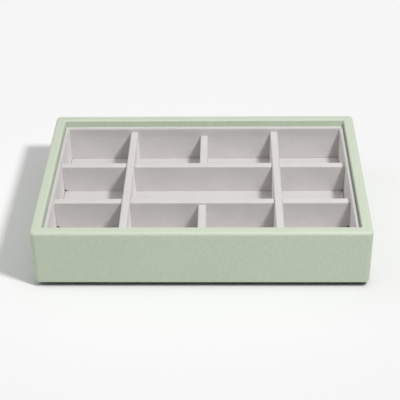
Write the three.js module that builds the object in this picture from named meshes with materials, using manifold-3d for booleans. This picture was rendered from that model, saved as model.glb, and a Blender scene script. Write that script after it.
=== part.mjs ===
// A stacking trinket tray: a mitred board carcass wrapped in leatherette, a velvet insert that is divided
// into eleven compartments, and a felt-covered foot that nests in the rim of the tray below.
// Millimetres, +Z up. The origin is on the ground under the middle of the tray, +X runs along its width
// and the front faces -Y.

import * as THREE from 'three';
import { mergeVertices } from 'three/addons/utils/BufferGeometryUtils.js';
import Module from 'manifold-3d';

// Overall sizes
const TRAY_WIDTH = 180;
const TRAY_DEPTH = 120;
const WALL_HEIGHT = 33.2;
const FOOT_DROP = 3;

// Stock thicknesses
const LEATHERETTE = 0.8;
const VELVET = 0.5;
const FELT = 0.5;
const WALL_BOARD = 4;
const BASE_BOARD = 4;
const FLOOR_CARD = 2;
const LINER_CARD = 0.5;
const DIVIDER_CARD = 3.3;

// Joints and clearances
const GLUE_LINE = 0.1;
const MITRE_GAP = 0.3;
const REBATE_DEPTH = 2;
const REBATE_CLEARANCE = 0.3;
const SLOT_CLEARANCE = 0.3;
const LINER_CLEARANCE = 0.3;
const FLOOR_CLEARANCE = 0.3;
const STACKING_CLEARANCE = 0.6;

// How far the insert's top edges lie below the rim
const LINER_DROP = 4;
const LONG_DIVIDER_DROP = 6.9;
const CROSS_DIVIDER_DROP = 8.4;
const SHORT_DIVIDER_DROP = 9.7;

// Turned-in edges of the sheets, and the seam where the ends of the leatherette strip meet
const RIM_TURN_IN = 12;
const LINER_TURN_OVER = 10;
const SEAM_GAP = 0.3;
const SEAM_FROM_SIDE = 7;

// How far the felt's border under the walls lies in from their outer face
const FELT_INSET = 1.2;

// Cut-away lower corners at the ends of the cross dividers
const NOTCH_WIDTH = 2.5;
const NOTCH_HEIGHT = 1.5;

// Rounded corners in plan
const TRAY_CORNER = 3;
const LINER_CORNER = 1.2;
const FLOOR_CORNER = 1;
const FOOT_CORNER = 2;
const LEAST_CORNER = 0.2;

// Eased long edges of the boards and cards, which the sheets follow
const BOARD_EDGE = 0.6;
const LINER_EDGE = 0.2;
const DIVIDER_EDGE = 0.6;
const FLOOR_EDGE = 0.5;
const FOOT_EDGE = 0.4;

// Compartments: equal columns and rows, with the two middle ones of the middle row left as one
const COLUMNS = 4;
const ROWS = 3;

// Fineness of the round stretches
const EDGE_STEPS = 4;
const CORNER_STEPS = 6;

// How far a cutting solid reaches past what it cuts
const CUT_MARGIN = 1;

// Heights above the ground
const rimTop = FOOT_DROP + WALL_HEIGHT;
const boardBottom = FOOT_DROP + LEATHERETTE + GLUE_LINE;
const boardTop = rimTop - LEATHERETTE - GLUE_LINE;
const baseTop = boardBottom + BASE_BOARD;
const insertBottom = baseTop + GLUE_LINE;
const floorCardTop = insertBottom + FLOOR_CARD;
const floorTop = floorCardTop + GLUE_LINE + VELVET;
const dividerBottom = floorTop + GLUE_LINE;
const linerTop = rimTop - LINER_DROP;
const footTop = boardBottom - GLUE_LINE;

// Distances in from the outer face of the tray
const boardOuter = LEATHERETTE + GLUE_LINE;
const boardInner = boardOuter + WALL_BOARD;
const rimWidth = boardInner + GLUE_LINE + LEATHERETTE;
const rebateInner = boardInner - REBATE_DEPTH;
const linerInset = rimWidth + LINER_CLEARANCE;
const linerThickness = LINER_CARD + 2 * (GLUE_LINE + VELVET);
const insideInset = linerInset + linerThickness;
const floorInset = insideInset + FLOOR_CLEARANCE;
const footInset = rimWidth + STACKING_CLEARANCE;

// Compartment grid
const dividerThickness = DIVIDER_CARD + 2 * (GLUE_LINE + VELVET);
const insideWidth = TRAY_WIDTH - 2 * insideInset;
const insideDepth = TRAY_DEPTH - 2 * insideInset;
const columnWidth = (insideWidth - (COLUMNS - 1) * dividerThickness) / COLUMNS;
const rowDepth = (insideDepth - (ROWS - 1) * dividerThickness) / ROWS;
const longDividerX = columnWidth + dividerThickness;
const crossDividerY = (rowDepth + dividerThickness) / 2;

const wasm = await Module();
wasm.setup();

// Solids for cutting

/** Turns a closed geometry into a solid that can be cut. */
function toSolid(geometry) {
  const bare = geometry.clone();
  bare.deleteAttribute('normal');
  bare.deleteAttribute('uv');
  const merged = mergeVertices(bare);
  const mesh = new wasm.Mesh({
    numProp: 3,
    vertProperties: new Float32Array(merged.attributes.position.array),
    triVerts: new Uint32Array(merged.index.array),
  });
  return new wasm.Manifold(mesh);
}

/** Turns a cut solid back into a geometry. */
function toGeometry(solid) {
  const mesh = solid.getMesh();
  const geometry = new THREE.BufferGeometry();
  geometry.setAttribute('position', new THREE.BufferAttribute(mesh.vertProperties, 3));
  geometry.setIndex(new THREE.BufferAttribute(mesh.triVerts, 1));
  geometry.computeVertexNormals();
  return geometry;
}

/** A block for cutting, given by its middle and its sizes. */
function cuttingBlock(middle, size) {
  const block = new THREE.BoxGeometry(size.x, size.y, size.z);
  block.translate(middle.x, middle.y, middle.z);
  return toSolid(block);
}

// Sections, in a plane where x runs inwards from the outer face and y runs up

/** One corner of a section, rounded where it has a radius. */
function corner(x, y, radius = 0) {
  return { point: new THREE.Vector2(x, y), radius };
}

/** The points round one right-angled corner between its neighbours. */
function easeCorner(before, here, after) {
  if (here.radius === 0) {
    return [here.point];
  }
  const inward = here.point.clone().sub(before.point).normalize();
  const outward = after.point.clone().sub(here.point).normalize();
  const middle = here.point.clone().addScaledVector(inward, -here.radius).addScaledVector(outward, here.radius);
  const points = [];
  for (let step = 0; step <= EDGE_STEPS; step += 1) {
    const angle = (step / EDGE_STEPS) * (Math.PI / 2);
    const point = middle.clone();
    point.addScaledVector(outward, -here.radius * Math.cos(angle));
    point.addScaledVector(inward, here.radius * Math.sin(angle));
    points.push(point);
  }
  return points;
}

/** The points of an outline that stops at its first and last corners. */
function openOutline(corners) {
  const last = corners.length - 1;
  return corners.flatMap((here, index) => {
    const isEnd = index === 0 || index === last;
    return isEnd ? [here.point] : easeCorner(corners[index - 1], here, corners[index + 1]);
  });
}

/** The points of an outline that closes on itself. */
function closedOutline(corners) {
  const count = corners.length;
  return corners.flatMap((here, index) => {
    return easeCorner(corners[(index + count - 1) % count], here, corners[(index + 1) % count]);
  });
}

/**
 * The section of a sheet that is folded at right angles, always to the right. Its outer face runs through the
 * corners given, and its inner face is concentric with the folds.
 */
function foldedSheet(corners, thickness) {
  const rightOf = (from, to) => {
    const along = to.point.clone().sub(from.point).normalize();
    return new THREE.Vector2(along.y, -along.x).multiplyScalar(thickness);
  };
  const innerCorners = corners.map((here, index) => {
    const point = here.point.clone();
    if (index > 0) {
      point.add(rightOf(corners[index - 1], here));
    }
    if (index < corners.length - 1) {
      point.add(rightOf(here, corners[index + 1]));
    }
    return { point, radius: Math.max(here.radius - thickness, 0) };
  });
  return [...openOutline(corners), ...openOutline(innerCorners).reverse()];
}

// Shapes that follow the tray's plan

/** A rectangle concentric with the tray, set in from its outer face. */
function planInset(inset, radius) {
  return { halfWidth: TRAY_WIDTH / 2 - inset, halfDepth: TRAY_DEPTH / 2 - inset, radius };
}

/** The points of a rounded rectangle, anticlockwise, as many for every size. */
function roundedRectangle(halfWidth, halfDepth, radius) {
  const x = halfWidth - radius;
  const y = halfDepth - radius;
  const quarter = Math.PI / 2;
  const path = new THREE.Path();
  path.absarc(x, y, radius, 0, quarter);
  path.absarc(-x, y, radius, quarter, 2 * quarter);
  path.absarc(-x, -y, radius, 2 * quarter, 3 * quarter);
  path.absarc(x, -y, radius, 3 * quarter, 4 * quarter);
  return path.getPoints(CORNER_STEPS / 2);
}

/**
 * Carries a section round a rounded rectangle. A closed section gives a band, and an open one a plate with
 * a flat face over its first and last points. The section runs up on the outside of the plan.
 */
function carryRound(section, plan, isBand) {
  const rings = section.map((place) => {
    const radius = Math.max(plan.radius - place.x, LEAST_CORNER);
    return roundedRectangle(plan.halfWidth - place.x, plan.halfDepth - place.x, radius);
  });
  const ringSize = rings[0].length;
  const positions = [];
  rings.forEach((ring, level) => {
    ring.forEach((point) => positions.push(point.x, point.y, section[level].y));
  });
  const triangles = [];
  const levels = isBand ? rings.length : rings.length - 1;
  for (let level = 0; level < levels; level += 1) {
    const low = level * ringSize;
    const high = ((level + 1) % rings.length) * ringSize;
    for (let place = 0; place < ringSize; place += 1) {
      const next = (place + 1) % ringSize;
      triangles.push(low + place, low + next, high + next);
      triangles.push(low + place, high + next, high + place);
    }
  }
  if (!isBand) {
    const top = (rings.length - 1) * ringSize;
    for (let place = 1; place < ringSize - 1; place += 1) {
      triangles.push(0, place + 1, place);
      triangles.push(top, top + place, top + place + 1);
    }
  }
  const geometry = new THREE.BufferGeometry();
  geometry.setAttribute('position', new THREE.Float32BufferAttribute(positions, 3));
  geometry.setIndex(triangles);
  geometry.computeVertexNormals();
  return geometry;
}

/** A board or card with square lower edges and eased upper ones. */
function plate(plan, bottom, top, edge) {
  const section = openOutline([
    corner(2 * edge, bottom),
    corner(0, bottom),
    corner(0, top, edge),
    corner(2 * edge, top),
  ]);
  return carryRound(section, plan, false);
}

/** A plate that hangs under something, with eased lower edges and square upper ones. */
function hangingPlate(plan, bottom, top, edge) {
  const section = openOutline([
    corner(2 * edge, bottom),
    corner(0, bottom, edge),
    corner(0, top),
    corner(2 * edge, top),
  ]);
  return carryRound(section, plan, false);
}

/** A sheet that lies flat, with square edges. */
function flatSheet(plan, bottom, top) {
  return carryRound(openOutline([corner(0, bottom), corner(0, top)]), plan, false);
}

// The sides of the tray meet at mitres

const SIDES = [
  { name: 'front', halfLength: TRAY_WIDTH / 2, halfSpan: TRAY_DEPTH / 2, turn: 0 },
  { name: 'right', halfLength: TRAY_DEPTH / 2, halfSpan: TRAY_WIDTH / 2, turn: Math.PI / 2 },
  { name: 'back', halfLength: TRAY_WIDTH / 2, halfSpan: TRAY_DEPTH / 2, turn: Math.PI },
  { name: 'left', halfLength: TRAY_DEPTH / 2, halfSpan: TRAY_WIDTH / 2, turn: -Math.PI / 2 },
];

/** The space of one side, between the mitre planes at its two ends. */
function mitreSector(side) {
  const shift = MITRE_GAP / Math.SQRT2;
  const reach = insideInset + CUT_MARGIN;
  const outerEnd = side.halfLength + CUT_MARGIN - shift;
  const innerEnd = side.halfLength - reach - shift;
  const outerLine = -side.halfSpan - CUT_MARGIN;
  const innerLine = -side.halfSpan + reach;
  const sector = new THREE.Shape([
    new THREE.Vector2(-outerEnd, outerLine),
    new THREE.Vector2(outerEnd, outerLine),
    new THREE.Vector2(innerEnd, innerLine),
    new THREE.Vector2(-innerEnd, innerLine),
  ]);
  const geometry = new THREE.ExtrudeGeometry(sector, { depth: rimTop, bevelEnabled: false });
  geometry.rotateZ(side.turn);
  return toSolid(geometry);
}

/** Cuts a band at the mitres and gives each side as a named mesh. */
function mitredSides(prefix, band, material) {
  const solid = toSolid(band);
  return SIDES.map((side) => {
    return namedMesh(`${prefix}_${side.name}`, toGeometry(solid.intersect(mitreSector(side))), material);
  });
}

// Materials, with colours as they look in daylight

const leatherette = new THREE.MeshStandardMaterial({ color: 0xd2e0ca, roughness: 0.55, metalness: 0 });
const velvet = new THREE.MeshStandardMaterial({ color: 0xdcd9d7, roughness: 0.95, metalness: 0 });
const felt = new THREE.MeshStandardMaterial({ color: 0x333533, roughness: 1, metalness: 0 });
const fibreboard = new THREE.MeshStandardMaterial({ color: 0xa98660, roughness: 0.85, metalness: 0 });
const greyboard = new THREE.MeshStandardMaterial({ color: 0x98948c, roughness: 0.9, metalness: 0 });

/** A mesh under the name of its piece. */
function namedMesh(name, geometry, material) {
  const mesh = new THREE.Mesh(geometry, material);
  mesh.name = name;
  return mesh;
}

// Carcass

/** Four wall boards, eased along the edges that the wrap goes over and rebated below for the base board. */
function wallBoards() {
  const rebateTop = baseTop + GLUE_LINE;
  const section = closedOutline([
    corner(boardOuter, boardBottom, BOARD_EDGE),
    corner(boardOuter, boardTop, BOARD_EDGE),
    corner(boardInner, boardTop, BOARD_EDGE),
    corner(boardInner, rebateTop),
    corner(rebateInner, rebateTop),
    corner(rebateInner, boardBottom),
  ]);
  return mitredSides('wall_board', carryRound(section, planInset(0, TRAY_CORNER), true), fibreboard);
}

/** The board that closes the carcass below, let into the rebate of the walls. */
function baseBoard() {
  const plan = planInset(rebateInner + REBATE_CLEARANCE, LEAST_CORNER);
  return namedMesh('base_board', plate(plan, boardBottom, baseTop, BOARD_EDGE), fibreboard);
}

/** One strip of leatherette: under the lower edge, up the outside, over the rim and down the inside. */
function leatheretteWrap() {
  const fold = BOARD_EDGE + GLUE_LINE + LEATHERETTE;
  const section = foldedSheet([
    corner(boardInner, FOOT_DROP),
    corner(0, FOOT_DROP, fold),
    corner(0, rimTop, fold),
    corner(rimWidth, rimTop, fold),
    corner(rimWidth, rimTop - RIM_TURN_IN),
  ], LEATHERETTE);
  const band = carryRound(section, planInset(0, TRAY_CORNER), true);
  const seam = cuttingBlock(
    new THREE.Vector3(SEAM_FROM_SIDE - TRAY_WIDTH / 2, TRAY_DEPTH / 2 - rimWidth / 2, rimTop / 2),
    new THREE.Vector3(SEAM_GAP, rimWidth + 2 * CUT_MARGIN, rimTop + 2 * CUT_MARGIN),
  );
  return namedMesh('leatherette_wrap', toGeometry(toSolid(band).subtract(seam)), leatherette);
}

// Underside

/** The plate under the base board that nests in the rim of the tray below. */
function footPlate() {
  const plan = planInset(footInset + FELT + GLUE_LINE, FOOT_CORNER - FELT - GLUE_LINE);
  return namedMesh('foot_plate', hangingPlate(plan, FELT + GLUE_LINE, footTop, FOOT_EDGE), greyboard);
}

/** One felt over the foot plate, up its sides and out under the walls, where it hides the wrap's lower edge. */
function footCover() {
  const feltTop = FOOT_DROP - GLUE_LINE;
  const innerFold = FOOT_EDGE + GLUE_LINE;
  const foot = hangingPlate(planInset(footInset, FOOT_CORNER), 0, feltTop, innerFold + FELT);
  const border = flatSheet(planInset(FELT_INSET, FOOT_CORNER), feltTop - FELT, feltTop);
  const hollowPlan = planInset(footInset + FELT, FOOT_CORNER - FELT);
  const hollow = hangingPlate(hollowPlan, FELT, feltTop + CUT_MARGIN, innerFold);
  const solid = toSolid(foot).add(toSolid(border)).subtract(toSolid(hollow));
  return namedMesh('foot_cover', toGeometry(solid), felt);
}

// Insert

/** The floor card on the base board, in a velvet cover that goes down over its edges. */
function insertFloor() {
  const fold = FLOOR_EDGE + GLUE_LINE + VELVET;
  const coverSection = openOutline([
    corner(2 * fold, floorTop - VELVET),
    corner(VELVET, floorTop - VELVET, FLOOR_EDGE + GLUE_LINE),
    corner(VELVET, insertBottom),
    corner(0, insertBottom),
    corner(0, floorTop, fold),
    corner(2 * fold, floorTop),
  ]);
  const cardPlan = planInset(floorInset + VELVET + GLUE_LINE, FLOOR_CORNER - VELVET - GLUE_LINE);
  return [
    namedMesh('floor_card', plate(cardPlan, insertBottom, floorCardTop, FLOOR_EDGE), greyboard),
    namedMesh('floor_cover', carryRound(coverSection, planInset(floorInset, FLOOR_CORNER), false), velvet),
  ];
}

/** The four sides of the liner: cards mitred at the corners, each in a velvet cover that goes over its top. */
function liner() {
  const fold = LINER_EDGE + GLUE_LINE + VELVET;
  const cardOuter = VELVET + GLUE_LINE;
  const cardInner = cardOuter + LINER_CARD;
  const cardTop = linerTop - VELVET - GLUE_LINE;
  const cardSection = closedOutline([
    corner(cardOuter, insertBottom),
    corner(cardOuter, cardTop, LINER_EDGE),
    corner(cardInner, cardTop, LINER_EDGE),
    corner(cardInner, insertBottom),
  ]);
  const coverSection = foldedSheet([
    corner(0, linerTop - LINER_TURN_OVER),
    corner(0, linerTop, fold),
    corner(linerThickness, linerTop, fold),
    corner(linerThickness, insertBottom),
  ], VELVET);
  const plan = planInset(linerInset, LINER_CORNER);
  return [
    ...mitredSides('liner_card', carryRound(cardSection, plan, true), greyboard),
    ...mitredSides('liner_cover', carryRound(coverSection, plan, true), velvet),
  ];
}

// Dividers

/** An upright of a given section, standing on the ground with its length along Y. */
function upright(points, length) {
  const geometry = new THREE.ExtrudeGeometry(new THREE.Shape(points), { depth: length, bevelEnabled: false });
  geometry.translate(0, 0, -length / 2);
  geometry.rotateX(Math.PI / 2);
  return geometry;
}

/** Cuts a slot through an upright at each of the places along its length. */
function cutSlots(geometry, slots) {
  if (slots.places.length === 0) {
    return geometry;
  }
  const across = dividerThickness + 2 * CUT_MARGIN;
  const along = dividerThickness + 2 * SLOT_CLEARANCE;
  const tall = slots.top - slots.bottom;
  const middle = (slots.top + slots.bottom) / 2;
  return toGeometry(slots.places.reduce((solid, place) => {
    return solid.subtract(cuttingBlock(new THREE.Vector3(0, place, middle), new THREE.Vector3(across, along, tall)));
  }, toSolid(geometry)));
}

/** A wedge that takes off the lower corner at the far end of an upright. */
function endWedge(length) {
  const end = length / 2;
  const across = dividerThickness + 2 * CUT_MARGIN;
  const triangle = new THREE.Shape([
    new THREE.Vector2(end - 2 * NOTCH_WIDTH, -NOTCH_HEIGHT),
    new THREE.Vector2(end + NOTCH_WIDTH, -NOTCH_HEIGHT),
    new THREE.Vector2(end + NOTCH_WIDTH, 2 * NOTCH_HEIGHT),
  ]);
  const wedge = new THREE.ExtrudeGeometry(triangle, { depth: across, bevelEnabled: false });
  wedge.translate(0, 0, -across / 2);
  wedge.rotateX(Math.PI / 2);
  wedge.rotateZ(Math.PI / 2);
  return wedge;
}

/** Takes off the lower corners at both ends of an upright. */
function notchEnds(geometry, length) {
  const farWedge = endWedge(length);
  const nearWedge = farWedge.clone().rotateZ(Math.PI);
  return toGeometry(toSolid(geometry).subtract(toSolid(farWedge)).subtract(toSolid(nearWedge)));
}

/** A card and the velvet cover that goes up one side of it, over the top edge and down the other. */
function divider(name, length, height, slots) {
  const half = dividerThickness / 2;
  const cardHalf = DIVIDER_CARD / 2;
  const cardHeight = height - VELVET - GLUE_LINE;
  const fold = DIVIDER_EDGE + GLUE_LINE + VELVET;
  const cardSection = closedOutline([
    corner(-cardHalf, 0),
    corner(-cardHalf, cardHeight, DIVIDER_EDGE),
    corner(cardHalf, cardHeight, DIVIDER_EDGE),
    corner(cardHalf, 0),
  ]);
  const coverSection = foldedSheet([
    corner(-half, 0),
    corner(-half, height, fold),
    corner(half, height, fold),
    corner(half, 0),
  ], VELVET);
  const cut = (section) => {
    const slotted = cutSlots(upright(section, length), slots);
    return slots.notched ? notchEnds(slotted, length) : slotted;
  };
  const pair = new THREE.Group();
  pair.add(namedMesh(`${name}_card`, cut(cardSection), greyboard));
  pair.add(namedMesh(`${name}_cover`, cut(coverSection), velvet));
  return pair;
}

/** Two long, two cross and two short dividers. The long and the cross ones are halved into each other. */
function dividers() {
  const longHeight = rimTop - LONG_DIVIDER_DROP - dividerBottom;
  const crossHeight = rimTop - CROSS_DIVIDER_DROP - dividerBottom;
  const shortHeight = rimTop - SHORT_DIVIDER_DROP - dividerBottom;
  const longLength = insideDepth - 2 * GLUE_LINE;
  const crossLength = insideWidth - 2 * GLUE_LINE;
  const shortLength = rowDepth - 2 * GLUE_LINE;
  const halving = Math.min(longHeight, crossHeight) / 2;
  const longSlots = {
    places: [-crossDividerY, crossDividerY],
    bottom: -CUT_MARGIN,
    top: halving + SLOT_CLEARANCE / 2,
    notched: false,
  };
  const crossSlots = {
    places: [-longDividerX, longDividerX],
    bottom: halving - SLOT_CLEARANCE / 2,
    top: crossHeight + CUT_MARGIN,
    notched: true,
  };
  const noSlots = { places: [], notched: false };
  const grid = new THREE.Group();
  grid.position.z = dividerBottom;
  for (const [side, sign] of [['left', -1], ['right', 1]]) {
    const long = divider(`long_divider_${side}`, longLength, longHeight, longSlots);
    long.position.x = sign * longDividerX;
    grid.add(long);
  }
  for (const [end, sign] of [['front', -1], ['back', 1]]) {
    const cross = divider(`cross_divider_${end}`, crossLength, crossHeight, crossSlots);
    cross.rotation.z = Math.PI / 2;
    cross.position.y = sign * crossDividerY;
    const short = divider(`short_divider_${end}`, shortLength, shortHeight, noSlots);
    short.position.y = sign * (insideDepth - rowDepth) / 2;
    grid.add(cross, short);
  }
  return grid;
}

const tray = new THREE.Group();
tray.add(...wallBoards(), baseBoard(), leatheretteWrap());
tray.add(footPlate(), footCover());
tray.add(...insertFloor(), ...liner(), dividers());

export default tray;
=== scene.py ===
"""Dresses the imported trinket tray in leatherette, velvet and felt and stands it in a plain pale studio.

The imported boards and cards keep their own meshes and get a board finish. The leatherette wrap, the velvet
covers and the felt are modelled here as thin sheets, folded over the boards and cards that they cover.
"""

import logging
import math
from dataclasses import dataclass, field
from enum import Enum
from itertools import pairwise

import bmesh
import bpy
from bmesh.types import BMEdge, BMVert
from bpy.types import ID, Material, Node, NodeSocket as Socket, NodeTree, Object
from mathutils import Matrix, Vector, noise

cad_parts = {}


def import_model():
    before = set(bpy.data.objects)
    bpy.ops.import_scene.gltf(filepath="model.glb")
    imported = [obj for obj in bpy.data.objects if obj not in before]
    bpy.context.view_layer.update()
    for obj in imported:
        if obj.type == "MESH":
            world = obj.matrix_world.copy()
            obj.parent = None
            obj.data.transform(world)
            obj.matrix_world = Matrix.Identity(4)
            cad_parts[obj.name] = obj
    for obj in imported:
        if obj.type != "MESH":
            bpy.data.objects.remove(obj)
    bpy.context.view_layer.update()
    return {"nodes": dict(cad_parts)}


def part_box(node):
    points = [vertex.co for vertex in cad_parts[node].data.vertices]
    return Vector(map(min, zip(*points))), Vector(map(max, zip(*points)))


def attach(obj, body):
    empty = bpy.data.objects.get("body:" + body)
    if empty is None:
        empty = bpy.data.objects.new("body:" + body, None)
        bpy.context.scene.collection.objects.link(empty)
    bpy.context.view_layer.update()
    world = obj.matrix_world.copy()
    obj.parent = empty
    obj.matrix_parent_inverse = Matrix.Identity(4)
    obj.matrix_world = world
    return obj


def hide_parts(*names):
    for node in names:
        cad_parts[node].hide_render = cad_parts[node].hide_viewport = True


MM = 0.001
BODY = "root"
SNAP = 0.001 * MM
FOLD_ATTRIBUTE = "fold"
PAINTED_HIGHLIGHT_ATTRIBUTE = "painted_highlight"
CORNER_STEPS = 8
FOLD_STEPS = 6
SHARP_ANGLE = math.radians(50)
UP = Vector((0, 0, 1))
DOWN = Vector((0, 0, -1))
AXES = (Vector((1, 0, 0)), Vector((0, 1, 0)), UP)
WHOLE = (1.0, 1.0, 1.0)

LOG = logging.getLogger("trinket_tray")

Colour = tuple[float, float, float]
Stretch = tuple[float, float, float]
Pair = tuple[float, float]


class Slot(Enum):
    """The record's material slots."""

    LEATHERETTE = "leatherette"
    VELVET = "velvet"
    FELT = "felt"
    FIBREBOARD = "fibreboard"
    GREYBOARD = "greyboard"


class Side(Enum):
    """The four sides of the tray, each with the direction that it faces."""

    FRONT = (0, -1)
    BACK = (0, 1)
    LEFT = (-1, 0)
    RIGHT = (1, 0)

    @property
    def label(self) -> str:
        """The side's name as the nodes have it."""
        return self.name.lower()

    @property
    def outward(self) -> Vector:
        """The direction that the side faces."""
        return Vector((*self.value, 0))

    @property
    def along(self) -> Vector:
        """The direction that the side runs in."""
        return Vector((-self.value[1], self.value[0], 0))


class NodeBench:
    """Places and wires the nodes of one shader tree."""

    # The Mix node has several sockets of each name, so its colour sockets go by number.
    MIX_SHARE = 0
    MIX_UNDER = 6
    MIX_OVER = 7
    MIX_RESULT = 2

    def __init__(self, tree: NodeTree) -> None:
        """Keeps the tree that the nodes go into."""
        self.tree = tree

    @classmethod
    def cleared(cls, owner: ID) -> "NodeBench":
        """Empties the tree of a material, a lamp or a world.

        Args:
            owner: what the tree belongs to.

        Returns:
            A bench for the tree.
        """
        owner.use_nodes = True
        owner.node_tree.nodes.clear()
        return cls(owner.node_tree)

    def add(self, kind: str, inputs: dict | None = None, **options) -> Node:
        """Adds a node, sets its options and fills its inputs.

        Args:
            kind: the node's type name, without the ShaderNode that starts it.
            inputs: for each input, by name or number, a value or the output that feeds it.
            options: the node's own settings, such as its operation.

        Returns:
            The new node.
        """
        node = self.tree.nodes.new("ShaderNode" + kind)
        for name, option in options.items():
            setattr(node, name, option)
        self.fill(node, inputs or {})
        return node

    def fill(self, node: Node, inputs: dict) -> None:
        """Fills the inputs of a node.

        Args:
            node: the node.
            inputs: for each input, by name or number, a value or the output that feeds it.
        """
        for name, value in inputs.items():
            if isinstance(value, Socket):
                self.tree.links.new(value, node.inputs[name])
            else:
                node.inputs[name].default_value = value

    def place(self, stretch: Stretch = WHOLE) -> Socket:
        """Gives the place on the piece in metres, each axis times its stretch."""
        here = self.add("TexCoord").outputs["Object"]
        return self.add("Mapping", {"Vector": here, "Scale": stretch}).outputs["Vector"]

    def noise(self, place: Socket, scale: float | Socket, detail: float = 2.0) -> Socket:
        """Gives a noise of about 0.3 to 0.7, with so many clouds to a metre and so many finer layers."""
        inputs = {"Vector": place, "Scale": scale, "Detail": detail}
        return self.add("TexNoise", inputs).outputs["Fac"]

    def maths(self, operation: str, first: float | Socket, second: float | Socket) -> Socket:
        """Works out one step of arithmetic, by Blender's name for it."""
        return self.add("Math", {0: first, 1: second}, operation=operation).outputs[0]

    def weigh(self, first: Socket, second: Socket, share: float) -> Socket:
        """Adds two values, the second one by its share of 1 and the first one by the rest."""
        rest = self.maths("MULTIPLY", first, 1 - share)
        return self.maths("ADD", rest, self.maths("MULTIPLY", second, share))

    def spread(self, value: Socket, reach: Pair, onto: Pair, smooth: bool = False) -> Socket:
        """Maps a value from one range onto another.

        Args:
            value: the value to map.
            reach: the range that it covers.
            onto: the range that it is mapped onto.
            smooth: whether it eases in and out at the ends.

        Returns:
            The output that carries the mapped value.
        """
        ends = {"From Min": reach[0], "From Max": reach[1], "To Min": onto[0], "To Max": onto[1]}
        steps = "SMOOTHSTEP" if smooth else "LINEAR"
        return self.add("MapRange", {"Value": value, **ends}, interpolation_type=steps).outputs["Result"]

    def blend(self, share: Socket, under: Socket | tuple, over: Socket | tuple) -> Socket:
        """Mixes two colours, the second one by its share."""
        inputs = {self.MIX_SHARE: share, self.MIX_UNDER: under, self.MIX_OVER: over}
        return self.add("Mix", inputs, data_type="RGBA").outputs[self.MIX_RESULT]

    def scaled(self, colour: Socket, factor: Socket) -> Socket:
        """Makes a colour lighter or darker by a factor."""
        return self.add("VectorMath", {0: colour, "Scale": factor}, operation="SCALE").outputs[0]


def opaque(colour: Colour = WHOLE) -> tuple[float, float, float, float]:
    """Gives a colour, white if none is named, its full alpha."""
    return (*colour, 1.0)


def shade(colour: Colour, factor: float) -> tuple[float, float, float, float]:
    """Gives a colour made lighter or darker, with its full alpha."""
    return opaque(tuple(part * factor for part in colour))


def put_in_scene(name: str, data: ID) -> Object:
    """Puts data into the scene.

    Args:
        name: the name of its object.
        data: the mesh, the lamp or the camera.

    Returns:
        The object.
    """
    thing = bpy.data.objects.new(name, data)
    bpy.context.scene.collection.objects.link(thing)
    return thing


class SharedPatterns:
    """The shader node groups that several finishes place with their own values."""

    TUFTS_PER_FIBRE = 0.22
    TUFT_SHARE = 0.35
    FIBRE_REACH = (0.32, 0.68)

    def __init__(self) -> None:
        """Builds each group once."""
        self.clouds = self._clouds()
        self.fibres = self._fibres()

    def _open(self, name: str, inputs: dict[str, str], outputs: dict[str, str]) -> tuple:
        """Starts a group.

        Args:
            name: the group's name.
            inputs: each input's name and kind of socket.
            outputs: each output's name and kind of socket.

        Returns:
            The group, a bench to build it on, its input node and its output node.
        """
        group = bpy.data.node_groups.new(name, "ShaderNodeTree")
        for direction, sockets in (("INPUT", inputs), ("OUTPUT", outputs)):
            for label, kind in sockets.items():
                group.interface.new_socket(name=label, in_out=direction, socket_type="NodeSocket" + kind)
        entry = group.nodes.new("NodeGroupInput")
        leave = group.nodes.new("NodeGroupOutput")
        return group, NodeBench(group), entry, leave

    def _clouds(self) -> NodeTree:
        """Makes the group that lets a dye wander from place to place.

        Returns:
            The group, with a colour, a scale and a depth in and a colour out.
        """
        inputs = {"Colour": "Color", "Scale": "Float", "Depth": "Float"}
        group, bench, entry, leave = self._open("cloudy_dye", inputs, {"Colour": "Color"})
        clouds = bench.noise(bench.place(), entry.outputs["Scale"], detail=4.0)
        wander = bench.maths("MULTIPLY", bench.spread(clouds, (0, 1), (-1, 1)), entry.outputs["Depth"])
        tinted = bench.scaled(entry.outputs["Colour"], bench.maths("ADD", wander, 1.0))
        group.links.new(tinted, leave.inputs["Colour"])
        return group

    def _fibres(self) -> NodeTree:
        """Makes the group for the short fibres of pile and board.

        Returns:
            The group, with a scale in and a height of about 0 to 1 out.
        """
        group, bench, entry, leave = self._open("short_fibres", {"Scale": "Float"}, {"Height": "Float"})
        place = bench.place()
        tips = bench.noise(place, entry.outputs["Scale"])
        tufts = bench.noise(place, bench.maths("MULTIPLY", entry.outputs["Scale"], self.TUFTS_PER_FIBRE))
        both = bench.weigh(tips, tufts, self.TUFT_SHARE)
        group.links.new(bench.spread(both, self.FIBRE_REACH, (0, 1)), leave.inputs["Height"])
        return group


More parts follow.
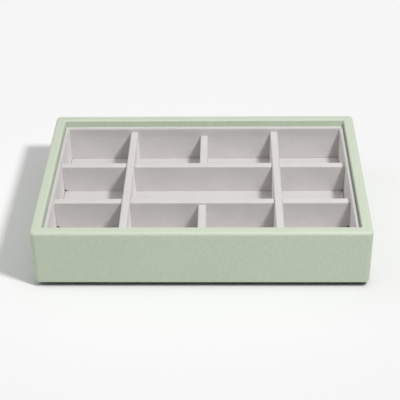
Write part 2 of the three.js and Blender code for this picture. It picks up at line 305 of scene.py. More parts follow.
@dataclass(frozen=True)
class Finish:
    """What every finish has.

    Attributes:
        patterns: the patterns that it shares with the others.
        slot: the record's slot that it is for.
        colour: its main colour.
        clouds_per_metre: how many clouds of a slightly other shade fit in a metre.
        cloud_depth: how far the shade wanders, as a share.
        relief: how deep its relief is.
        relief_bump: how strongly the relief shows.
        relief_reach: heights of the relief that get the two roughnesses.
        roughness: how rough it is low and high in the relief.
        gloss: strength of its highlights.
        painted_highlight_tint: what its colour is multiplied by on its marked tops, a painted highlight (on
            the leatherette a painted reflection).
    """

    patterns: SharedPatterns
    slot: Slot
    colour: Colour
    clouds_per_metre: float
    cloud_depth: float
    relief: float
    relief_bump: float
    relief_reach: Pair
    roughness: Pair
    gloss: float
    painted_highlight_tint: Colour

    @property
    def shine(self) -> dict:
        """The shader's inputs for its shine."""
        return {"Specular IOR Level": self.gloss}

    def material(self) -> Material:
        """Builds the material.

        Returns:
            The material, named after its slot.
        """
        material = bpy.data.materials.new(self.slot.value)
        material.use_nodes = True
        bench = NodeBench(material.node_tree)
        colour, height = self._surface(bench)
        # Painted highlight: the marked tops get a lighter colour, on the leatherette also a paler one.
        painted_highlight = bench.add("Attribute", attribute_name=PAINTED_HIGHLIGHT_ATTRIBUTE).outputs["Fac"]
        painted_highlight_factor = bench.blend(painted_highlight, opaque(), opaque(self.painted_highlight_tint))
        bump = {"Strength": self.relief_bump, "Distance": self.relief, "Height": height}
        bench.fill(material.node_tree.nodes["Principled BSDF"], {
            "Base Color": bench.add("VectorMath", {0: colour, 1: painted_highlight_factor}, operation="MULTIPLY").outputs[0],
            "Roughness": bench.spread(height, self.relief_reach, self.roughness),
            "Normal": bench.add("Bump", bump).outputs["Normal"],
            **self.shine,
        })
        return material

    def _surface(self, bench: NodeBench) -> tuple[Socket, Socket]:
        """Gives the outputs that carry the colour and the height of the relief, from 0 to 1."""
        raise NotImplementedError

    def _clouded(self, bench: NodeBench, colour: tuple) -> Socket:
        """Lets a colour wander from place to place."""
        inputs = {"Colour": colour, "Scale": self.clouds_per_metre, "Depth": self.cloud_depth}
        return bench.add("Group", inputs, node_tree=self.patterns.clouds).outputs["Colour"]

    def _fibred(self, bench: NodeBench, scale: float) -> Socket:
        """Gives the height of short fibres, so many of them to a metre."""
        return bench.add("Group", {"Scale": scale}, node_tree=self.patterns.fibres).outputs["Height"]


@dataclass(frozen=True)
class Leatherette(Finish):
    """Sage-green coated cloth, with a fine pressed grain that runs up and down the walls."""

    slot: Slot = Slot.LEATHERETTE
    colour: Colour = (0.655, 0.750, 0.592)
    clouds_per_metre: float = 22.0
    cloud_depth: float = 0.03
    relief: float = 0.08 * MM
    relief_bump: float = 0.55
    relief_reach: Pair = (0.2, 0.8)
    roughness: Pair = (0.60, 0.46)
    gloss: float = 0.35
    # Painted reflection: the rim's top is painted paler and less green, standing in for the gloss that
    # shows the light above.
    painted_highlight_tint: Colour = (1.035, 1.0, 1.025)
    pebbles_per_metre: float = 1700.0
    pebble_smoothness: float = 0.6
    pebble_reach: Pair = (0.1, 0.7)
    streaks_per_metre: float = 1250.0
    streak_reach: Pair = (0.3, 0.7)
    streak_stretch: Stretch = (1.0, 1.0, 0.25)
    streak_share: float = 0.5
    patches_per_metre: float = 14.0
    patch_reach: Pair = (0.35, 0.65)
    patch_strength: Pair = (0.55, 1.3)
    grain_reach: Pair = (0.25, 0.75)
    grain_shade: float = 0.92
    fold_shade: float = 1.05
    fold_wear: float = 0.6

    def _surface(self, bench: NodeBench) -> tuple[Socket, Socket]:
        """Presses the grain, stronger in some patches, and wears it off along the folds.

        Args:
            bench: the material's bench.

        Returns:
            The outputs that carry the colour and the height of the grain.
        """
        upright = bench.place(self.streak_stretch)
        streaked = bench.noise(upright, self.streaks_per_metre, detail=3.0)
        streaks = bench.spread(streaked, self.streak_reach, (0, 1))
        cells = {"Vector": upright, "Scale": self.pebbles_per_metre, "Smoothness": self.pebble_smoothness}
        pebbles = bench.add("TexVoronoi", cells, feature="SMOOTH_F1").outputs["Distance"]
        grain = bench.weigh(bench.spread(pebbles, self.pebble_reach, (1, 0)), streaks, self.streak_share)
        patches = bench.noise(bench.place(), self.patches_per_metre)
        pressed = bench.spread(patches, self.patch_reach, self.patch_strength)
        valleys = bench.maths("MULTIPLY", bench.spread(grain, self.grain_reach, (1, 0)), pressed)
        tops = self._clouded(bench, opaque(self.colour))
        bottoms = self._clouded(bench, shade(self.colour, self.grain_shade))
        grained = bench.blend(valleys, tops, bottoms)
        fold = bench.add("Attribute", attribute_name=FOLD_ATTRIBUTE).outputs["Fac"]
        wear = bench.maths("MULTIPLY", fold, self.fold_wear)
        return bench.blend(wear, grained, shade(self.colour, self.fold_shade)), grain


@dataclass(frozen=True)
class Pile(Finish):
    """Cloth with a short matt pile, brushed unevenly. Its plain values are those of the velvet."""

    slot: Slot = Slot.VELVET
    colour: Colour = (0.712, 0.690, 0.680)
    clouds_per_metre: float = 80.0
    cloud_depth: float = 0.05
    relief: float = 0.12 * MM
    relief_bump: float = 0.45
    relief_reach: Pair = (0, 1)
    roughness: Pair = (1.0, 0.85)
    gloss: float = 0.15
    # Painted highlight: the dividers' tops are painted lighter.
    painted_highlight_tint: Colour = (1.06, 1.06, 1.06)
    sheen: float = 0.35
    sheen_roughness: float = 0.45
    sheen_tint: Colour = (1.0, 0.97, 0.95)
    fibres_per_metre: float = 3200.0
    root_shade: float = 0.88
    root_share: float = 0.55
    root_reach: Pair = (0.1, 0.7)
    naps_per_metre: float = 70.0
    nap_stretch: Stretch = (1.0, 0.6, 1.0)
    nap_shade: float = 0.92
    nap_share: float = 0.6
    nap_reach: Pair = (0.52, 0.72)
    # Painted sheen: where a face is seen at a flat angle, its colour is made up to 1.4 times lighter.
    painted_sheen_view: Pair = (0.8, 0.95)
    painted_sheen_lift: float = 1.4

    @property
    def shine(self) -> dict:
        """The shader's inputs for its shine."""
        sheen = {"Sheen Weight": self.sheen, "Sheen Roughness": self.sheen_roughness}
        return {"Specular IOR Level": self.gloss, "Sheen Tint": opaque(self.sheen_tint), **sheen}

    def _surface(self, bench: NodeBench) -> tuple[Socket, Socket]:
        """Raises the pile and brushes it, darkens it between the fibres, and paints a sheen into its colour
        where it is seen at a flat angle.

        Args:
            bench: the material's bench.

        Returns:
            The outputs that carry the colour and the height of the pile.
        """
        pile = self._fibred(bench, self.fibres_per_metre)
        dyed = self._clouded(bench, opaque(self.colour))
        brushed = bench.noise(bench.place(self.nap_stretch), self.naps_per_metre, detail=3.0)
        naps = bench.spread(brushed, self.nap_reach, (0, self.nap_share))
        napped = bench.blend(naps, dyed, shade(self.colour, self.nap_shade))
        roots = bench.spread(pile, self.root_reach, (self.root_share, 0))
        piled = bench.blend(roots, napped, shade(self.colour, self.root_shade))
        return self._painted_sheen(bench, piled), pile

    def _painted_sheen(self, bench: NodeBench, colour: Socket) -> Socket:
        """Paints a sheen into the colour: where the pile is seen at a flat angle, its colour is made
        lighter.
        """
        facing = bench.add("LayerWeight").outputs["Facing"]
        return bench.scaled(colour, bench.spread(facing, self.painted_sheen_view, (1.0, self.painted_sheen_lift)))


def shade_dark_felt(patterns: SharedPatterns) -> Pile:
    """Gives the felt under the tray, coarser than the velvet, its charcoal colour a painted shade that
    stands in for the shade under the tray's edges.
    """
    return Pile(
        # Painted shade: the charcoal colour stands in for the shade under the tray's edges.
        patterns, Slot.FELT, colour=(0.033, 0.036, 0.033), fibres_per_metre=1800.0,
        relief=0.2 * MM, root_shade=0.7, nap_shade=0.9, sheen=0.1,
    )


@dataclass(frozen=True)
class Board(Finish):
    """Raw board of pressed fibres with flecks. Its plain values are those of the fibreboard."""

    slot: Slot = Slot.FIBREBOARD
    colour: Colour = (0.397, 0.238, 0.117)
    clouds_per_metre: float = 60.0
    cloud_depth: float = 0.08
    relief: float = 0.1 * MM
    relief_bump: float = 0.4
    relief_reach: Pair = (0, 1)
    roughness: Pair = (0.95, 0.8)
    gloss: float = 0.2
    painted_highlight_tint: Colour = WHOLE
    fibres_per_metre: float = 900.0
    gap_shade: float = 0.8
    gap_share: float = 0.5
    gap_reach: Pair = (0, 0.6)
    fleck: Colour = (0.22, 0.12, 0.055)
    flecks_per_metre: float = 420.0
    fleck_stretch: Stretch = (1.0, 1.0, 3.0)
    fleck_share: float = 0.7
    fleck_reach: Pair = (0.60, 0.68)

    def _surface(self, bench: NodeBench) -> tuple[Socket, Socket]:
        """Presses the fibres and strews the flecks.

        Args:
            bench: the material's bench.

        Returns:
            The outputs that carry the colour and the height of the fibres.
        """
        fibres = self._fibred(bench, self.fibres_per_metre)
        dyed = self._clouded(bench, opaque(self.colour))
        gaps = bench.spread(fibres, self.gap_reach, (self.gap_share, 0))
        fibred = bench.blend(gaps, dyed, shade(self.colour, self.gap_shade))
        scraps = bench.noise(bench.place(self.fleck_stretch), self.flecks_per_metre)
        flecks = bench.spread(scraps, self.fleck_reach, (0, self.fleck_share))
        return bench.blend(flecks, fibred, opaque(self.fleck)), fibres


@dataclass(frozen=True)
class Ring:
    """One level of a sheet that is carried round the tray.

    Attributes:
        inset: how far in from the tray's outer walls.
        height: height above the ground.
        corner: radius of the corners in plan.
        fold: outer radius of the sheet's fold along this level, where it folds.
    """

    inset: float
    height: float
    corner: float
    fold: float = 0.0

    def take(self, points: set[BMVert], before: "Ring", plan: Vector) -> None:
        """Takes points over from another ring.

        Args:
            points: the points, all on the other ring's corners.
            before: the other ring.
            plan: half the tray's width and depth.
        """
        for point in points:
            for axis in (0, 1):
                reach = abs(point.co[axis]) - (plan[axis] - before.inset - before.corner)
                place = plan[axis] - self.inset - self.corner + reach * self.corner / before.corner
                point.co[axis] = math.copysign(place, point.co[axis])
            point.co.z = self.height


class Sheet:
    """A thin sheet: an open surface that is folded, cut and eased, and then gets its thickness."""

    def __init__(self, middle: Vector, width: float, depth: float) -> None:
        """Starts with one level rectangle.

        Args:
            middle: the rectangle's middle.
            width: its size along X.
            depth: its size along Y.
        """
        self.mesh = bmesh.new()
        bmesh.ops.create_grid(self.mesh, x_segments=1, y_segments=1, size=0.5)
        bmesh.ops.scale(self.mesh, vec=(width, depth, 1), verts=self.mesh.verts[:])
        bmesh.ops.translate(self.mesh, vec=middle, verts=self.mesh.verts[:])

    @classmethod
    def carry_round(cls, plan: Vector, rings: list[Ring], outward: Vector, capped: bool) -> "Sheet":
        """Carries a sheet round a rectangle with rounded corners and folds it at the rings.

        Args:
            plan: half the tray's width and depth.
            rings: the levels that the sheet passes, in order.
            outward: the way that its outermost faces look.
            capped: whether the last ring is filled.

        Returns:
            The sheet.
        """
        first = rings[0]
        sheet = cls(UP * first.height, 2 * (plan.x - first.inset), 2 * (plan.y - first.inset))
        mesh = sheet.mesh
        bmesh.ops.bevel(
            mesh, geom=mesh.verts[:], offset=first.corner, affect="VERTICES",
            segments=CORNER_STEPS, profile=0.5, material=-1,
        )
        bmesh.ops.delete(mesh, geom=mesh.faces[:], context="FACES_ONLY")
        outline = mesh.edges[:]
        folds = []
        for before, after in pairwise(rings):
            made = bmesh.ops.extrude_edge_only(mesh, edges=outline)["geom"]
            points = {part for part in made if isinstance(part, BMVert)}
            outline = [part for part in made if isinstance(part, BMEdge) and points.issuperset(part.verts)]
            after.take(points, before, plan)
            if after.fold > 0:
                folds.append((outline, after.fold))
        if capped:
            bmesh.ops.contextual_create(mesh, geom=outline)
        sheet.face_outwards(outward)
        for edges, radius in folds:
            sheet.round_folds(edges, radius)
        return sheet

    @classmethod
    def fold_over(cls, low: Vector, high: Vector, radius: float) -> "Sheet":
        """Folds a strip over the top of an upright card, with a leg down each face.

        Args:
            low: lowest corner of the folded strip.
            high: highest corner of the folded strip.
            radius: outer radius of its two folds.

        Returns:
            The sheet.
        """
        size = high - low
        along = 0 if size.x > size.y else 1
        middle = (low + high) / 2
        sheet = cls(Vector((middle.x, middle.y, high.z)), size.x, size.y)
        ridges = []
        for edge in sheet.mesh.edges:
            start, end = (point.co[along] for point in edge.verts)
            if abs(start - end) > size[along] / 2:
                ridges.append(edge)
        made = bmesh.ops.extrude_edge_only(sheet.mesh, edges=ridges)["geom"]
        lowered = [part for part in made if isinstance(part, BMVert)]
        bmesh.ops.translate(sheet.mesh, vec=DOWN * size.z, verts=lowered)
        sheet.face_outwards(UP)
        sheet.round_folds(ridges, radius)
        return sheet

    def face_outwards(self, outward: Vector) -> None:
        """Turns the faces of the open sheet to its outer side.

        Args:
            outward: the way that its outermost faces look.
        """
        faces = self.mesh.faces[:]
        bmesh.ops.recalc_face_normals(self.mesh, faces=faces)
        outermost = max(faces, key=lambda face: face.calc_center_median().dot(outward))
        if outermost.normal.dot(outward) < 0:
            bmesh.ops.reverse_faces(self.mesh, faces=faces)

    def round_folds(self, folds: list[BMEdge], radius: float) -> None:
        """Rounds folds and marks their crowns in the fold attribute.

        Args:
            folds: the edges along which the sheet folds.
            radius: the folds' outer radius.
        """
        layers = self.mesh.verts.layers.float
        mark = layers.get(FOLD_ATTRIBUTE) or layers.new(FOLD_ATTRIBUTE)
        made = bmesh.ops.bevel(
            self.mesh, geom=folds, offset=radius, affect="EDGES",
            segments=FOLD_STEPS, profile=0.5, material=-1,
        )
        rounded = set(made["faces"])
        for point in made["verts"]:
            if rounded.issuperset(point.link_faces):
                point[mark] = 1.0

    def mark_painted_highlight(self, height: float) -> None:
        """Marks the tops in their own attribute, where a lighter colour is painted as a highlight.

        Args:
            height: where the painted highlight starts.
        """
        mark = self.mesh.verts.layers.float.new(PAINTED_HIGHLIGHT_ATTRIBUTE)
        for point in self.mesh.verts:
            point[mark] = float(point.co.z > height)

    def cut_across(self, place: Vector, normal: Vector, trim: bool = False) -> None:
        """Cuts the sheet along a plane through a place, and may trim off what lies beyond."""
        parts = [*self.mesh.verts, *self.mesh.edges, *self.mesh.faces]
        bmesh.ops.bisect_plane(
            self.mesh, geom=parts, dist=SNAP, plane_co=place, plane_no=normal, clear_outer=trim,
        )

    def cut_evenly(self, step: float, margin: Vector) -> None:
        """Cuts the sheet into cells, so that it can be a little uneven.

        Args:
            step: about how wide a cell is.
            margin: how much is left uncut at both ends, along each axis.
        """
        for axis, normal in enumerate(AXES):
            reach = [point.co[axis] for point in self.mesh.verts]
            start = min(reach) + margin[axis]
            length = max(reach) - margin[axis] - start
            cells = round(length / step)
            for number in range(cells + 1) if cells > 0 else ():
                self.cut_across(normal * (start + length * number / cells), normal)

    def take_out(self, low: Vector, high: Vector) -> None:
        """Cuts away what lies in a box.

        Args:
            low: lowest corner of the box.
            high: highest corner of the box.
        """
        for normal in AXES:
            for corner in (low, high):
                self.cut_across(corner, normal)
        inside = []
        for face in self.mesh.faces:
            middle = face.calc_center_median()
            if all(low[axis] < middle[axis] < high[axis] for axis in range(3)):
                inside.append(face)
        bmesh.ops.delete(self.mesh, geom=inside, context="FACES")

    def loosen(self, depth: float, width: float) -> None:
        """Makes the sheet a little uneven, inwards only, as a glued cloth is.

        Args:
            depth: how deep its hollows are.
            width: how wide they are.
        """
        self.mesh.normal_update()
        moves = [(point, point.normal.copy()) for point in self.mesh.verts]
        for point, normal in moves:
            hollow = 0.5 + 0.5 * noise.noise(point.co / width)
            point.co -= normal * depth * hollow

    def thicken(self, thickness: float) -> None:
        """Gives the sheet its thickness, inwards, and marks its sharp edges.

        Args:
            thickness: how thick it is.
        """
        bmesh.ops.solidify(self.mesh, geom=self.mesh.faces[:], thickness=thickness)
        for face in self.mesh.faces:
            face.smooth = True
        for edge in self.mesh.edges:
            edge.smooth = edge.calc_face_angle(0.0) < SHARP_ANGLE

    def place(self, name: str, material: Material) -> Object:
        """Puts the sheet into the scene, which uses it up.

        Args:
            name: the name of its object.
            material: its finish.

        Returns:
            The object.
        """
        mesh = bpy.data.meshes.new(name)
        self.mesh.to_mesh(mesh)
        self.mesh.free()
        mesh.materials.append(material)
        return put_in_scene(name, mesh)


@dataclass
class ClothWork:
    """One cloth, and how sheets of it are finished and laid.

    Attributes:
        look: the cloth's finish.
        thickness: how thick the cloth is.
        cell: about how wide the cells of its meshes are.
        hollow_depth: depth of the hollows that make it a little uneven.
        hollow_width: how wide they are.
        material: the finish as a material, made once for all its sheets.
    """

    look: Finish
    thickness: float = 0.5 * MM
    cell: float = 3.0 * MM
    hollow_depth: float = 0.06 * MM
    hollow_width: float = 9.0 * MM
    material: Material = field(init=False)

    def __post_init__(self) -> None:
        """Builds the material."""
        self.material = self.look.material()

    def finish(self, sheet: Sheet, margin: Vector, seam: tuple[Vector, ...] = ()) -> None:
        """Cuts a sheet into cells, loosens it and gives it its thickness.

        Args:
            sheet: the sheet as an open surface.
            margin: how much is left uncut at both ends, along each axis.
            seam: lowest and highest corner of the gap where its ends meet, where they do.
        """
        sheet.cut_evenly(self.cell, margin)
        if seam:
            sheet.take_out(*seam)
        sheet.loosen(self.hollow_depth, self.hollow_width)
        sheet.thicken(self.thickness)

    def lay(self, sheet: Sheet, name: str, node: str, flat: Pair, rests_on: list[str]) -> Object:
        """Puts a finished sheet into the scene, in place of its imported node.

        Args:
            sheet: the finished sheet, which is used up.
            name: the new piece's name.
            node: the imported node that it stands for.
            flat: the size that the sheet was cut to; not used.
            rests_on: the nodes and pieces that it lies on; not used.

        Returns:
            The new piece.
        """
        piece = sheet.place(name, self.material)
        normals = piece.modifiers.new("even_shading", "WEIGHTED_NORMAL")
        normals.keep_sharp = True
        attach(piece, BODY)
        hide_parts(node)
        LOG.info("%s stands for %s: %d faces", name, node, len(piece.data.polygons))
        return piece


@dataclass
class Carcass:
    """The four wall boards and the base board, wrapped in one strip of leatherette.

    Attributes:
        leatherette: the cloth of the wrap.
        rim_fold: outer radius of its fold along the rim's outer edge.
        tight_fold: outer radius of its folds along the rim's inner edge and along the lower edge.
        corner: radius of the tray's upright corners.
        inner_corner: radius of the upright corners inside the rim.
        turn_in: how far the strip goes down inside the rim.
        seam_from_side: how far the strip's seam lies from the left side, on the back.
        seam_gap: width of the seam.
    """

    leatherette: ClothWork
    rim_fold: float = 1.75 * MM
    tight_fold: float = 0.9 * MM
    corner: float = 3.0 * MM
    inner_corner: float = 0.3 * MM
    turn_in: float = 12.0 * MM
    seam_from_side: float = 7.0 * MM
    seam_gap: float = 0.06 * MM

    def build(self) -> Object:
        """Builds the leatherette wrap, with a layer of it on both faces of the wall boards.

        Returns:
            The wrap.
        """
        low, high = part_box("leatherette_wrap")
        board_low, board_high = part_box("wall_board_left")
        board_inner = board_high.x - low.x
        rim = board_inner + board_low.x - low.x
        plan = Vector((high.x, high.y, 0))
        rings = [
            Ring(board_inner, low.z, self.inner_corner),
            Ring(0.0, low.z, self.corner, self.tight_fold),
            Ring(0.0, high.z, self.corner, self.rim_fold),
            Ring(rim, high.z, self.inner_corner, self.tight_fold),
            Ring(rim, high.z - self.turn_in, self.inner_corner),
        ]
        strip = Sheet.carry_round(plan, rings, UP, capped=False)
        # Painted reflection: the rim's top is marked to be painted paler.
        strip.mark_painted_highlight(high.z - self.rim_fold / 2)
        seam_low = Vector((low.x + self.seam_from_side - self.seam_gap / 2, 0, low.z - MM))
        seam_high = Vector((seam_low.x + self.seam_gap, high.y + MM, high.z + MM))
        self.leatherette.finish(strip, Vector((rim, rim, 2 * self.rim_fold)), (seam_low, seam_high))
        around = 4 * (plan.x + plan.y) - 8 * self.corner + 2 * math.pi * self.corner
        across = board_inner + (high.z - low.z) + rim + self.turn_in
        flat = (around, across)
        rests_on = ["wall_board_" + side.label for side in Side] + ["base_board"]
        return self.leatherette.lay(strip, "leatherette_strip", "leatherette_wrap", flat, rests_on)


@dataclass
class Floor:
    """The velvet over the floor card, which goes down over the card's edges.

    Attributes:
        velvet: the cloth.
        corner: radius of its corners in plan.
        fold: outer radius of the fold round its edge.
        pile_reach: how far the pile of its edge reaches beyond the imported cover.
    """

    velvet: ClothWork
    corner: float = 1.0 * MM
    fold: float = 0.7 * MM
    pile_reach: float = 0.25 * MM

    def build(self) -> Object:
        """Builds the velvet.

        Returns:
            The velvet.
        """
        low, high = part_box("floor_cover")
        plan = Vector((high.x + self.pile_reach, high.y + self.pile_reach, 0))
        rings = [Ring(0.0, low.z, self.corner), Ring(0.0, high.z, self.corner, self.fold)]
        cover = Sheet.carry_round(plan, rings, UP, capped=True)
        turn_down = high.z - low.z
        self.velvet.finish(cover, Vector((self.corner, self.corner, turn_down)))
        flat = (high.x - low.x + 2 * turn_down, high.y - low.y + 2 * turn_down)
        return self.velvet.lay(cover, "floor_velvet", "floor_cover", flat, ["floor_card"])


@dataclass
class Foot:
    """The felt over the foot plate, which goes up the plate's sides and out under the walls.

    Attributes:
        felt: the cloth.
        corner: radius of its corners in plan.
        fold: outer radius of the fold round the foot's lower edge.
        hollow_fold: radius of the fold where the foot's sides meet the border.
    """

    felt: ClothWork
    corner: float = 2.0 * MM
    fold: float = 1.0 * MM
    hollow_fold: float = 0.5 * MM

    def build(self) -> Object:
        """Builds the felt.

        Returns:
            The felt.
        """
        low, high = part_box("foot_cover")
        plate_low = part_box("foot_plate")[0]
        border = plate_low.x - low.x - (plate_low.z - low.z)
        border_face = high.z - self.felt.thickness
        plan = Vector((high.x, high.y, 0))
        rings = [
            Ring(0.0, border_face, self.corner),
            Ring(border, border_face, self.corner, self.hollow_fold),
            Ring(border, low.z, self.corner, self.fold),
        ]
        cover = Sheet.carry_round(plan, rings, DOWN, capped=True)
        margin = border + self.corner
        self.felt.finish(cover, Vector((margin, margin, high.z - low.z)))
        rise = 2 * (border_face - low.z)
        flat = (high.x - low.x + rise, high.y - low.y + rise)
        rests_on = ["foot_plate", "leatherette_strip"]
        return self.felt.lay(cover, "foot_felt", "foot_cover", flat, rests_on)


@dataclass
class Liner:
    """The four velvet sides of the insert, mitred at the corners.

    Attributes:
        velvet: the cloth.
        turn_over: how far the velvet goes down the liner's outer face.
        corner: radius of the liner's outer corners in plan.
        inner_corner: radius of its inner corners.
        fold: outer radius of the folds along its top.
        pile_reach: how far the pile reaches out towards the wrap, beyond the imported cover.
        bead: how far the velvet puffs out inwards where it goes over the top.
        bead_height: how far down from the top it does so.
        bead_slope: how far below that it takes to lie flat again.
    """

    velvet: ClothWork
    turn_over: float = 10.0 * MM
    corner: float = 1.2 * MM
    inner_corner: float = 0.3 * MM
    fold: float = 0.7 * MM
    pile_reach: float = 0.2 * MM
    bead: float = 0.4 * MM
    bead_height: float = 1.5 * MM
    bead_slope: float = 5.0 * MM

    def build(self) -> list[Object]:
        """Builds the covers of the four sides."""
        return [self.build_side(side) for side in Side]

    def build_side(self, side: Side) -> Object:
        """Builds one side, as the part of a liner carried all round that lies between two mitres.

        Args:
            side: the side to build.

        Returns:
            The side's cover.
        """
        node = "liner_cover_" + side.label
        low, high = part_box(node)
        plan = Vector((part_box("liner_cover_right")[1].x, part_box("liner_cover_back")[1].y, 0))
        across = abs((high - low).dot(side.outward))
        rings = [
            Ring(-self.pile_reach, high.z - self.turn_over, self.corner),
            Ring(-self.pile_reach, high.z, self.corner, self.fold),
            Ring(across + self.bead, high.z, self.inner_corner, self.fold + self.bead),
            Ring(across + self.bead, high.z - self.bead_height, self.inner_corner, self.bead),
            Ring(across, high.z - self.bead_height - self.bead_slope, self.inner_corner, self.bead),
            Ring(across, low.z, self.inner_corner),
        ]
        cover = Sheet.carry_round(plan, rings, UP, capped=False)
        half_across = abs(plan.dot(side.outward))
        half_along = abs(plan.dot(side.along))
        for turn in (-1, 1):
            corner = side.outward * half_across + side.along * turn * half_along
            cover.cut_across(corner, side.along * turn - side.outward, trim=True)
        margin = Vector((2 * across, 2 * across, self.bead_height + self.bead_slope + self.bead))
        self.velvet.finish(cover, margin)
        flat = (2 * half_along, self.turn_over + across + high.z - low.z)
        name = "liner_velvet_" + side.label
        return self.velvet.lay(cover, name, node, flat, ["liner_card_" + side.label])


@dataclass
class DividerGrid:
    """The dividers in their velvet covers, halved into each other where they cross.

    Attributes:
        velvet: the cloth.
        fold: outer radius of the folds along the tops.
        fit: gap between a cover and what passes through it.
        pile_reach: how far the pile of a cover's lower edges reaches down to the floor.
        notch: width and height of the lower corners that are cut away at the ends of the cross dividers.
        long_names: the dividers that run from front to back.
        cross_names: the dividers that run from left to right.
        short_names: the dividers that halve the middle of a row.
    """

    velvet: ClothWork
    fold: float = 0.9 * MM
    fit: float = 0.1 * MM
    pile_reach: float = 0.06 * MM
    notch: Pair = (2.5 * MM, 1.5 * MM)
    long_names: tuple[str, ...] = ("long_divider_left", "long_divider_right")
    cross_names: tuple[str, ...] = ("cross_divider_back", "cross_divider_front")
    short_names: tuple[str, ...] = ("short_divider_back", "short_divider_front")

    def build(self) -> list[Object]:
        """Builds all the dividers.

        Returns:
            The dividers' covers.
        """
        kinds = (
            (self.long_names, self.cross_names, True),
            (self.cross_names, self.long_names, False),
            (self.short_names, (), True),
        )
        covers = []
        for names, crossed_by, from_below in kinds:
            covers += [self.build_divider(name, crossed_by, from_below) for name in names]
        return covers

    @property
    def halving(self) -> float:
        """Height at which the long and the cross dividers meet, half way up the lower of the two."""
        low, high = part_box(self.cross_names[0] + "_cover")
        return (low.z + high.z) / 2

    def build_divider(self, name: str, crossed_by: tuple[str, ...], from_below: bool) -> Object:
        """Builds one divider's cover.

        Args:
            name: the divider's name.
            crossed_by: the dividers that pass through it.
            from_below: whether its slots are cut from below.

        Returns:
            The cover.
        """
        node = name + "_cover"
        low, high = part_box(node)
        low = low + DOWN * self.pile_reach
        size = high - low
        cover = Sheet.fold_over(low, high, self.fold)
        # Painted highlight: the divider's top is marked to be painted lighter.
        cover.mark_painted_highlight(high.z - self.fold / 2)
        for other in crossed_by:
            self.cut_slot(cover, low, high, other, from_below)
        if name in self.cross_names:
            self.notch_ends(cover, low, high)
        self.velvet.finish(cover, Vector((self.fold, self.fold, self.fold)))
        flat = (max(size.x, size.y), 2 * size.z + min(size.x, size.y))
        return self.velvet.lay(cover, name + "_velvet", node, flat, [name + "_card"])

    def notch_ends(self, cover: Sheet, low: Vector, high: Vector) -> None:
        """Cuts away the lower corners at both ends of a cross divider.

        Args:
            cover: the cover to cut.
            low: lowest corner of the cover.
            high: highest corner of the cover.
        """
        width, height = self.notch
        for end, turn in ((low.x, -1), (high.x, 1)):
            foot = Vector((end - turn * width, 0, low.z))
            cover.cut_across(foot, Vector((turn * height, 0, -width)), trim=True)

    def cut_slot(self, cover: Sheet, low: Vector, high: Vector, other: str, from_below: bool) -> None:
        """Cuts the slot for a divider that crosses this one.

        Args:
            cover: the cover to cut.
            low: lowest corner of the cover.
            high: highest corner of the cover.
            other: the divider that crosses it.
            from_below: whether the slot is open below.
        """
        gap = Vector((self.fit, self.fit, self.fit))
        slot_low, slot_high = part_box(other + "_cover")
        slot_low, slot_high = slot_low - gap, slot_high + gap
        if from_below:
            slot_high.z = self.halving + self.fit
            slot_low.z = low.z - MM
        else:
            slot_low.z = self.halving - self.fit
            slot_high.z = high.z + MM
        cover.take_out(slot_low, slot_high)


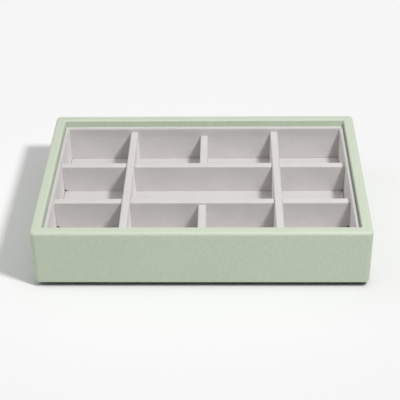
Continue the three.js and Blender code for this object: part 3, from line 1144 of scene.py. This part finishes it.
@dataclass
class Studio:
    """A pale floor, one near lamp, a soft sky with a pale card at the left, and the camera.

    Attributes:
        eye: where the camera stands.
        yaw: how far the camera is turned to the left.
        pitch: how far it looks up.
        roll: how far it is tilted.
        lens: its focal length on the sensor's width.
        sensor: the sensor's width.
        lamp: where the lamp hangs.
        lamp_radius: the lamp's radius.
        lamp_share: brightness that the lamp alone gives white paper under the tray's middle.
        overhead: brightness of the sky above the tray.
        horizon: brightness of the surround beyond it.
        ramp: cosines of the angles to the upright between which the one passes into the other.
        card: brightness of the pale card that stands at the left, across from the lamp.
        card_rise: how high the card's middle stands, as an angle.
        card_ramp: cosines of the angles to its middle between which the card fades out.
        backdrop: brightness of the floor and of the background in the picture.
        bounce: how pale the floor is for the light that it throws back.
        floor_reach: half the floor's width.
    """

    eye: Vector = field(default_factory=lambda: Vector((13.5, -510.9, 373.2)) * MM)
    yaw: float = math.radians(1.71)
    pitch: float = math.radians(-35.0)
    roll: float = math.radians(-1.07)
    lens: float = 97.57
    sensor: float = 36.0
    lamp: Vector = field(default_factory=lambda: Vector((198, -199, 414)) * MM)
    lamp_radius: float = 34 * MM
    lamp_share: float = 0.51
    overhead: float = 0.70
    horizon: float = 0.03
    ramp: Pair = (0.55, 0.75)
    card: float = 0.6
    card_rise: float = math.radians(15)
    card_ramp: Pair = (0.7, 0.95)
    backdrop: float = 0.912
    bounce: float = 0.8
    floor_reach: float = 3.0

    @property
    def surround(self) -> float:
        """Brightness that the surround alone gives white paper that lies level."""
        sky = self.horizon + (self.overhead - self.horizon) * self.reach(self.ramp)
        return sky + self.card * self.reach(self.card_ramp) * math.sin(self.card_rise)

    @staticmethod
    def reach(ramp: Pair) -> float:
        """Share of its brightness that a round soft light gives white paper that faces its middle."""
        # This is the smooth ramp's integral over the sky, each part weighed by its slant.
        start, end = ramp
        return 1 - (start + end) ** 2 / 4 - (end - start) ** 2 / 20

    def build(self) -> None:
        """Builds the studio."""
        bpy.context.scene.view_settings.view_transform = "Standard"
        self.build_camera()
        self.build_lamp()
        self.build_surround()
        self.build_floor()

    def build_camera(self) -> None:
        """Sets up the camera at the picture's angle."""
        data = bpy.data.cameras.new("camera")
        data.lens = self.lens
        data.sensor_width = self.sensor
        level = math.cos(self.pitch)
        ahead = Vector((-math.sin(self.yaw) * level, math.cos(self.yaw) * level, math.sin(self.pitch)))
        right = Vector((math.cos(self.yaw), math.sin(self.yaw), 0))
        aimed = Matrix((right, right.cross(ahead), -ahead)).transposed()
        tilted = aimed @ Matrix.Rotation(self.roll, 3, "Z")
        camera = put_in_scene("camera", data)
        camera.matrix_world = Matrix.Translation(self.eye) @ tilted.to_4x4()
        bpy.context.scene.camera = camera

    def build_lamp(self) -> None:
        """Hangs the lamp in front of the tray, to its right, as bright far from it as near it."""
        data = bpy.data.lights.new("lamp", "POINT")
        data.shadow_soft_size = self.lamp_radius
        data.energy = self.lamp_share * 4 * math.pi ** 2 * self.lamp.length / self.lamp.z
        bench = NodeBench.cleared(data)
        even = bench.add("LightFalloff", {"Strength": 1.0}).outputs["Constant"]
        glow = bench.add("Emission", {"Color": opaque(), "Strength": even})
        bench.add("OutputLight", {"Surface": glow.outputs[0]})
        put_in_scene("lamp", data).location = self.lamp

    def build_surround(self) -> None:
        """Lights the scene softly from above and from the card, and shows a pale background."""
        world = bpy.data.worlds.new("surround")
        bpy.context.scene.world = world
        bench = NodeBench.cleared(world)
        way = bench.add("TexCoord").outputs["Generated"]
        card_way = Vector((-math.cos(self.card_rise), 0, math.sin(self.card_rise)))
        sky = self.glow(bench, way, UP, self.ramp, (self.horizon, self.overhead))
        card = self.glow(bench, way, card_way, self.card_ramp, (0.0, self.card))
        light = bench.add("Background", {"Color": opaque(), "Strength": bench.maths("ADD", sky, card)})
        shown = bench.add("Background", {"Color": opaque(), "Strength": self.backdrop})
        mix = bench.add("MixShader", {0: self.seen(bench), 1: light.outputs[0], 2: shown.outputs[0]})
        bench.add("OutputWorld", {"Surface": mix.outputs[0]})

    @staticmethod
    def glow(bench: NodeBench, way: Socket, middle: Vector, ramp: Pair, levels: Pair) -> Socket:
        """Gives the brightness of a round soft light, from its levels beyond it and in it."""
        nearness = bench.add("VectorMath", {0: way, 1: middle}, operation="DOT_PRODUCT").outputs["Value"]
        return bench.spread(nearness, ramp, levels, smooth=True)

    def seen(self, bench: NodeBench) -> Socket:
        """Tells what is seen, straight or in a gloss, from what only throws light.

        Args:
            bench: the bench of the tree that asks.

        Returns:
            The output that is 1 where a ray comes from the camera, a gloss or a glass.
        """
        path = bench.add("LightPath").outputs
        either = bench.maths("MAXIMUM", path["Is Camera Ray"], path["Is Glossy Ray"])
        return bench.maths("MAXIMUM", either, path["Is Transmission Ray"])

    def build_floor(self) -> None:
        """Lays the floor."""
        sheet = Sheet(Vector(), 2 * self.floor_reach, 2 * self.floor_reach)
        sheet.place("floor", self.floor_paper())

    def floor_paper(self) -> Material:
        """Builds the floor's material, which evens out the lamp's slant where it is seen.

        Returns:
            The paper.
        """
        material = bpy.data.materials.new("floor_paper")
        bench = NodeBench.cleared(material)
        here = bench.add("TexCoord").outputs["Object"]
        away = bench.add("VectorMath", {0: here, 1: self.lamp}, operation="DISTANCE").outputs["Value"]
        slant = bench.maths("DIVIDE", self.lamp.length, away)
        lit = bench.maths("ADD", bench.maths("MULTIPLY", slant, self.lamp_share), self.surround)
        evened = bench.maths("DIVIDE", self.backdrop, lit)
        paper = bench.add("BsdfDiffuse", {"Color": opaque((self.bounce,) * 3)})
        shown = bench.add("BsdfDiffuse", {"Color": evened})
        mix = bench.add("MixShader", {0: self.seen(bench), 1: paper.outputs[0], 2: shown.outputs[0]})
        bench.add("OutputMaterial", {"Surface": mix.outputs[0]})
        return material


def dress_boards(nodes: dict[str, Object], patterns: SharedPatterns) -> None:
    """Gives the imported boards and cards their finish.

    Args:
        nodes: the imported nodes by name.
        patterns: the shared patterns.
    """
    fibreboard = Board(patterns).material()
    greyboard = Board(
        patterns, Slot.GREYBOARD, colour=(0.314, 0.296, 0.262), fleck=(0.16, 0.15, 0.14),
        fibres_per_metre=1500.0, flecks_per_metre=800.0,
    ).material()
    for name, node in nodes.items():
        if "_board" in name:
            node.material_slots[0].material = fibreboard
        elif "_card" in name or name == "foot_plate":
            node.material_slots[0].material = greyboard


def main() -> None:
    """Builds the tray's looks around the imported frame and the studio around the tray."""
    logging.basicConfig(level=logging.INFO, format="%(name)s: %(message)s")
    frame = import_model()
    patterns = SharedPatterns()
    leatherette = ClothWork(
        Leatherette(patterns),
        thickness=0.8 * MM, cell=4.0 * MM, hollow_depth=0.05 * MM, hollow_width=14.0 * MM,
    )
    velvet = ClothWork(Pile(patterns))
    felt = ClothWork(shade_dark_felt(patterns))
    dress_boards(frame["nodes"], patterns)
    Carcass(leatherette).build()
    Liner(velvet).build()
    Floor(velvet).build()
    Foot(felt).build()
    DividerGrid(velvet).build()
    Studio().build()


if __name__ == "__main__":
    main()
